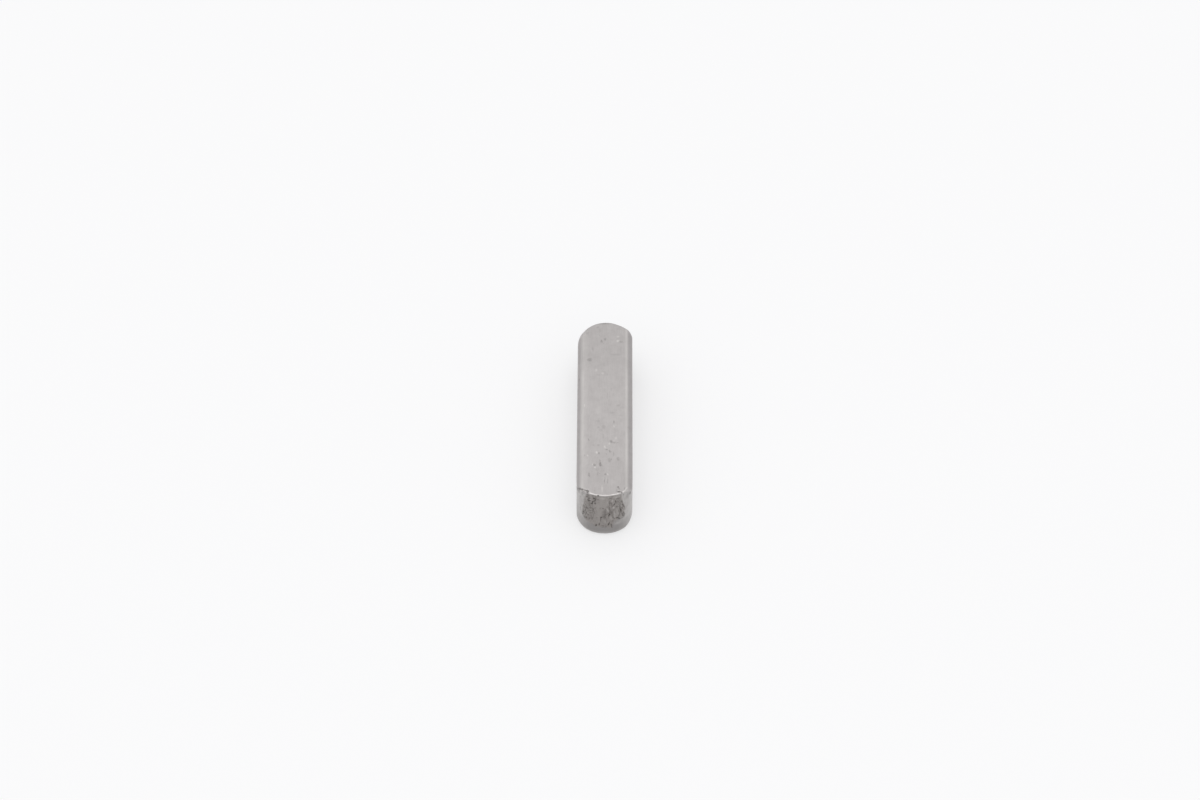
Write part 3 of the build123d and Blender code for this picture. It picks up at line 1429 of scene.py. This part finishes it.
@dataclass
class Studio:
    """A pale floor, a soft overhead light, a light room round it, and the camera. Sizes are in
    metres and turns in degrees. The room's tones go from its horizon to overhead."""

    floor_tone: str = "#B4B4B5"
    floor_lift: float = 0.49
    floor_half_side: float = 6.0
    room_tones: tuple[tuple[float, str], ...] = (
        (0.0, "#D0D0D2"),
        (0.38, "#D6D6D7"),
        (0.62, "#F4F4F4"),
        (1.0, "#FFFFFF"),
    )
    room_lean: float = -0.09
    lamp_side: float = 0.6
    lamp_power: float = 1.2
    lamp_place: Triple = (0.0, -0.1, 0.8)
    lens: float = 108.0
    camera_distance: float = 0.3986
    camera_elevation: float = 50.0
    camera_azimuth: float = 0.24
    camera_clip: float = 0.01
    aim: Triple = (-0.00055, 0.00632, 0.0)

    def paper(self) -> bpy.types.Material:
        """Matt white paper. What the camera and the steel see of it is lifted to white by its own
        light, and its diffuse part keeps the shadow.

        Returns:
            The material.
        """
        made = bpy.data.materials.new("matt_white_paper")
        tree = emptied_tree(made)
        add = partial(node, tree)
        sheet = add("ShaderNodeBsdfDiffuse", {"Color": linear(self.floor_tone)})
        path = add("ShaderNodeLightPath").outputs
        seen = path["Is Camera Ray"]
        for ray in ("Is Glossy Ray", "Is Transmission Ray"):
            either = {"Value": seen, "Value_001": path[ray]}
            seen = add("ShaderNodeMath", either, operation="MAXIMUM").outputs["Value"]
        lift = {"Value": seen, "Value_001": self.floor_lift}
        lift = add("ShaderNodeMath", lift, operation="MULTIPLY").outputs["Value"]
        glow = add("ShaderNodeEmission", {"Strength": lift})
        both = {"Shader": sheet.outputs["BSDF"], "Shader_001": glow.outputs["Emission"]}
        surface = add("ShaderNodeAddShader", both).outputs["Shader"]
        add("ShaderNodeOutputMaterial", {"Surface": surface})
        return made

    def floor(self) -> bpy.types.Object:
        """A flat sheet of paper under the key.

        Returns:
            The floor.
        """
        side = self.floor_half_side
        corners = [(-side, -side, 0.0), (side, -side, 0.0), (side, side, 0.0), (-side, side, 0.0)]
        made = bpy.data.meshes.new("floor")
        made.from_pydata(corners, [], [(0, 1, 2, 3)])
        made.materials.append(self.paper())
        piece = placed("floor", made)
        return piece

    def room(self) -> bpy.types.World:
        """Light from all round: greyer near the horizon, brightest overhead, and a little
        brighter on the left.

        Returns:
            The world.
        """
        world = bpy.data.worlds.new("soft_room")
        bpy.context.scene.world = world
        add = partial(node, emptied_tree(world))
        direction = add("ShaderNodeTexCoord").outputs["Generated"]
        parts = add("ShaderNodeSeparateXYZ", {"Vector": direction}).outputs
        leaning = {"Value": parts["X"], "Value_001": self.room_lean, "Value_002": parts["Z"]}
        rise = add("ShaderNodeMath", leaning, operation="MULTIPLY_ADD").outputs["Value"]
        shade = add("ShaderNodeValToRGB", {"Fac": rise}, self.room_tones).outputs["Color"]
        light = add("ShaderNodeBackground", {"Color": shade, "Strength": 1.0})
        add("ShaderNodeOutputWorld", {"Surface": light.outputs["Background"]})
        return world

    def overhead(self) -> bpy.types.Object:
        """One large soft lamp above the key and a little in front of it.

        Returns:
            The lamp.
        """
        lamp = bpy.data.lights.new("overhead_softbox", "AREA")
        lamp.shape = "SQUARE"
        lamp.size = self.lamp_side
        lamp.energy = self.lamp_power
        piece = placed("overhead_softbox", lamp)
        piece.location = self.lamp_place
        return piece

    def camera(self) -> bpy.types.Object:
        """The camera, looking down on the key along its length.

        Returns:
            The camera.
        """
        turn, rise = math.radians(self.camera_azimuth), math.radians(self.camera_elevation)
        level = math.cos(rise)
        back = Vector((math.sin(turn) * level, -math.cos(turn) * level, math.sin(rise)))
        lens = bpy.data.cameras.new("camera")
        lens.lens = self.lens
        lens.clip_start = self.camera_clip
        piece = placed("camera", lens)
        piece.location = Vector(self.aim) + back * self.camera_distance
        piece.rotation_mode = "QUATERNION"
        piece.rotation_quaternion = (-back).to_track_quat("-Z", "Y")
        bpy.context.scene.camera = piece
        return piece

    def build(self) -> None:
        """Sets up the floor, the light, the camera and plain colour handling."""
        pieces = self.floor(), self.room(), self.overhead(), self.camera()
        bpy.context.scene.view_settings.view_transform = "Standard"
        log.info("studio: %s", ", ".join(piece.name for piece in pieces))


# The hollows, given as seen looking along the key from its near end. Later ones lie over
# earlier ones, so their order matters.
#
# Pits and scores in the top face, and small knocks that carry a painted glint: x, y, reach across,
# reach along and darkness, which is below zero for a knock with a painted glint.
TOP_MARKS = (
    (-0.80, 11.80, 0.22, 0.14, 0.20), (-0.55, 11.30, 0.20, 0.40, 0.10), (-2.00, 10.90, 0.22, 0.26, 0.13),
    (0.02, 10.05, 0.18, 0.30, 0.27), (-0.38, 9.78, 0.16, 0.30, 0.35), (1.78, 9.70, 0.26, 0.26, 0.22),
    (1.40, 9.80, 0.24, 0.26, -0.68), (1.40, 10.40, 0.24, 0.16, -0.51), (-1.36, 8.66, 0.22, 0.42, 0.16),
    (1.20, 7.84, 0.95, 0.20, 0.10), (-1.70, 7.06, 0.40, 0.40, 0.30), (-2.82, 4.35, 0.16, 0.30, 0.32),
    (-0.95, 5.60, 0.16, 0.36, -0.42), (-0.25, 5.15, 0.28, 0.22, -0.42), (-0.75, 4.90, 0.30, 0.16, 0.13),
    (0.26, 4.95, 0.10, 0.34, 0.12), (-0.66, 3.40, 0.09, 0.50, 0.13), (0.28, 1.95, 0.08, 0.70, 0.16),
    (0.70, 2.80, 0.08, 0.40, 0.12), (1.44, 0.55, 0.32, 0.22, 0.16), (0.80, -0.45, 0.50, 0.20, 0.13),
    (1.65, -0.85, 0.50, 0.14, 0.09), (1.85, 0.25, 0.30, 0.20, 0.10), (-2.20, 0.50, 0.08, 0.36, -0.59),
    (-0.70, 0.00, 0.50, 0.90, -0.17), (-0.72, -1.66, 0.28, 0.20, 0.12), (0.97, -1.80, 0.07, 0.34, 0.43),
    (1.00, -2.40, 0.10, 0.26, -0.51), (-0.14, -2.45, 0.30, 0.40, 0.15), (-0.70, -2.52, 0.24, 0.20, 0.16),
    (-0.45, -2.95, 0.28, 0.28, 0.10), (-0.17, -3.75, 0.12, 0.50, 0.14), (-1.70, -4.26, 0.12, 0.26, 0.40),
    (0.70, -4.50, 0.22, 0.32, 0.38), (1.02, -4.62, 0.30, 0.20, 0.26), (0.50, -4.80, 0.12, 0.22, -0.59),
    (1.20, -4.05, 0.22, 0.34, -0.37), (-0.66, -5.02, 0.26, 0.14, 0.20), (-1.14, -5.02, 0.18, 0.12, 0.16),
    (0.03, -5.28, 0.12, 0.26, -0.68), (0.22, -5.62, 0.20, 0.16, 0.36), (0.54, -5.86, 0.12, 0.26, 0.47),
    (-0.64, -6.12, 0.14, 0.24, 0.43), (-0.86, -6.02, 0.14, 0.24, -0.77), (0.95, -6.25, 0.08, 0.40, 0.40),
    (-2.13, -6.46, 0.09, 0.16, 0.32), (-1.84, -6.46, 0.10, 0.16, -0.77), (1.46, -6.92, 0.24, 0.40, 0.28),
    (0.52, -7.10, 0.24, 0.46, 0.24), (-0.46, -7.66, 0.20, 0.50, 0.48), (-0.50, -7.20, 0.10, 0.30, 0.32),
    (-1.07, -7.76, 0.18, 0.22, 0.40), (-1.06, -8.08, 0.14, 0.18, -0.85), (-1.28, -7.70, 0.10, 0.16, -0.68),
    (-0.80, -8.35, 0.30, 0.44, 0.12), (-0.73, -8.90, 0.07, 0.50, 0.25), (-1.64, -9.10, 0.15, 0.40, 0.36),
    (0.10, -9.00, 0.16, 0.20, 0.43), (0.34, -9.05, 0.12, 0.22, -0.68), (0.02, -9.90, 0.07, 0.60, 0.32),
    (0.34, -10.00, 0.07, 0.56, 0.22), (0.18, -9.95, 0.07, 0.60, -0.34), (-0.24, -11.00, 0.14, 0.70, -0.42),
    (1.47, -10.80, 0.16, 0.24, 0.47), (1.56, -11.02, 0.14, 0.12, 0.36), (1.28, -11.25, 0.12, 0.28, 0.23),
    (1.57, -11.36, 0.32, 0.17, 0.65), (2.15, -10.98, 0.12, 0.26, 0.29),
)

# Crumbled places on the near top edge, darkened with dirt and painted shade: x, y, z, reach across,
# along and up, and darkness.
EDGE_CHIPS = (
    (-0.66, -11.98, 5.95, 0.14, 0.20, 0.40, 1.00), (1.82, -11.48, 5.95, 0.07, 0.20, 0.30, 0.90),
    (-1.80, -11.33, 5.95, 0.20, 0.34, 0.40, 0.85), (-2.05, -11.16, 5.90, 0.24, 0.14, 0.50, 0.65),
    (-2.35, -11.08, 5.85, 0.26, 0.12, 0.50, 0.60), (-2.62, -11.00, 5.75, 0.14, 0.20, 0.40, 0.38),
    (-2.70, -10.92, 5.30, 0.10, 0.26, 0.25, 0.45), (-1.70, -11.75, 5.72, 0.12, 0.40, 0.12, 0.50),
    (2.72, -10.85, 5.15, 0.12, 0.40, 0.50, 0.80), (2.35, -11.40, 5.75, 0.20, 0.30, 0.10, 0.50),
)

# Smoother facets in the torn patch, each with a painted highlight, then the places where lumps
# pulled out, darkened with dirt and painted shade: x, z, reach across, reach up, lean and darkness,
# which is below zero for a facet.
TORN_MARKS = (
    (0.87, 4.87, 0.12, 0.36, 0.05, -0.30), (0.98, 3.62, 0.20, 0.34, 0.05, -0.40),
    (1.10, 2.77, 0.16, 0.60, 0.00, -0.22), (0.42, 3.27, 0.10, 0.34, -0.30, -0.30),
    (0.32, 3.40, 0.14, 0.45, -0.30, -0.26), (0.33, 4.72, 0.07, 0.30, 0.00, -0.25),
    (1.40, 5.44, 0.62, 0.24, 0.00, -0.25), (0.60, 5.52, 0.32, 0.24, 0.00, -0.20),
    (0.78, 2.20, 0.46, 0.30, 0.00, -0.16), (-0.20, 5.42, 0.50, 0.25, 0.00, -0.20),
    (1.45, 2.57, 0.08, 0.40, -0.10, -0.20), (-1.50, 5.02, 0.09, 0.50, 0.30, -0.25),
    (0.10, 1.75, 0.36, 0.36, 0.00, -0.16), (1.35, 1.62, 0.55, 0.34, 0.00, -0.22),
    (-1.45, 2.98, 0.30, 0.45, 0.20, -0.20), (-1.78, 2.60, 0.08, 0.14, 0.00, -0.35),
    (-2.58, 5.08, 0.12, 0.14, 0.00, -0.55), (-2.12, 5.66, 0.12, 0.09, 0.00, -0.35),
    (-1.17, 5.18, 0.15, 0.22, 0.10, 0.80), (-0.66, 5.10, 0.20, 0.12, 0.00, 0.50),
    (-1.05, 4.87, 0.09, 0.40, 0.10, 0.75), (-1.66, 4.62, 0.12, 0.32, 0.70, 0.85),
    (-1.36, 4.32, 0.13, 0.26, 0.30, 0.95), (-1.22, 4.67, 0.09, 0.30, 0.30, 0.70),
    (-1.01, 4.40, 0.15, 0.16, -0.30, 0.85), (-1.93, 5.12, 0.14, 0.18, 0.00, 0.50),
    (-2.36, 5.35, 0.12, 0.24, 0.00, 0.30), (-2.57, 4.75, 0.06, 0.18, 0.00, 0.40),
    (-0.97, 3.68, 0.13, 0.14, 0.00, 0.38), (-2.32, 2.45, 0.14, 0.52, 0.12, 0.65),
    (-2.18, 1.98, 0.18, 0.22, -0.30, 0.50), (-1.90, 3.25, 0.14, 0.22, 0.00, 0.45),
    (-2.12, 3.52, 0.06, 0.50, 0.20, 0.45), (-1.97, 2.03, 0.13, 0.14, 0.00, 0.65),
    (-1.62, 2.02, 0.12, 0.14, 0.30, 0.50), (-1.36, 2.07, 0.08, 0.10, 0.00, 0.40),
    (-0.34, 2.16, 0.14, 0.14, 0.00, 0.75), (-0.40, 1.90, 0.08, 0.44, 0.00, 0.60),
    (-0.05, 2.16, 0.40, 0.07, 0.00, 0.45), (0.10, 3.15, 0.14, 0.45, 0.25, 0.26),
    (0.53, 2.50, 0.16, 0.18, 0.40, 0.75), (0.74, 2.87, 0.07, 0.36, 0.15, 0.40),
    (0.55, 3.42, 0.06, 0.36, -0.40, 0.38), (0.30, 3.92, 0.05, 0.40, -0.30, 0.32),
    (1.05, 4.17, 0.12, 0.28, 0.30, 0.80), (1.20, 4.68, 0.09, 0.42, -0.05, 0.70),
    (0.58, 4.57, 0.08, 0.55, 0.10, 0.60), (1.48, 4.52, 0.05, 0.45, -0.20, 0.40),
    (1.78, 3.12, 0.10, 0.52, -0.25, 0.58), (1.47, 5.05, 0.26, 0.12, 0.00, 0.34),
    (1.90, 4.35, 0.11, 0.50, -0.22, 0.42), (1.55, 4.02, 0.05, 0.45, -0.20, 0.45),
    (2.07, 3.60, 0.13, 0.55, -0.22, 0.50), (2.10, 2.42, 0.17, 0.55, 0.00, 0.60),
    (1.20, 2.97, 0.14, 0.14, 0.00, 0.35), (1.40, 2.34, 0.14, 0.16, 0.00, 0.85),
    (1.60, 2.14, 0.12, 0.18, -0.40, 0.85), (1.05, 2.36, 0.34, 0.09, 0.00, 0.60),
    (1.88, 2.10, 0.30, 0.10, 0.00, 0.70), (-0.90, 1.36, 0.20, 0.30, 0.20, 0.95),
    (-0.55, 1.45, 0.13, 0.24, 0.00, 0.85), (0.47, 1.42, 0.20, 0.28, 0.30, 0.95),
    (0.77, 1.22, 0.12, 0.42, -0.20, 0.95), (-2.56, 2.85, 0.06, 0.50, 0.03, 0.50),
    (2.02, 5.56, 0.10, 0.12, 0.00, 0.55), (1.55, 5.54, 0.22, 0.08, 0.00, 0.15),
)

TOP_LEVEL, TOP_REACH = 6.0, 0.5
TORN_PLACE, TORN_REACH = -11.7, 1.6
IN_TOP = HollowMaker(sink=0.05, lift=0.012, inwards=(0.0, 0.0, -1.0))
IN_EDGE = HollowMaker(sink=0.06, lift=0.0, inwards=(0.0, 0.6, -0.8))
IN_TEAR = HollowMaker(sink=0.12, lift=0.03, inwards=(0.0, 1.0, 0.0))
HOLLOWS = (
    *(
        IN_TOP.hollow((x, y, TOP_LEVEL), (across, along, TOP_REACH), dark)
        for x, y, across, along, dark in TOP_MARKS
    ),
    *(
        IN_EDGE.hollow((x, y, z), (across, along, up), dark)
        for x, y, z, across, along, up, dark in EDGE_CHIPS
    ),
    *(
        IN_TEAR.hollow((x, TORN_PLACE, z), (across, TORN_REACH, up), dark, lean)
        for x, z, across, up, lean, dark in TORN_MARKS
    ),
)


def main() -> None:
    """Builds the key and the studio, and reports each."""
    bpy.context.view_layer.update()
    skin = WornSkin(KeySurface(KeySizes.from_frame()), HOLLOWS)
    ParallelKey(skin, MATERIALS).build()
    Studio().build()


if __name__ == "__main__":
    main()
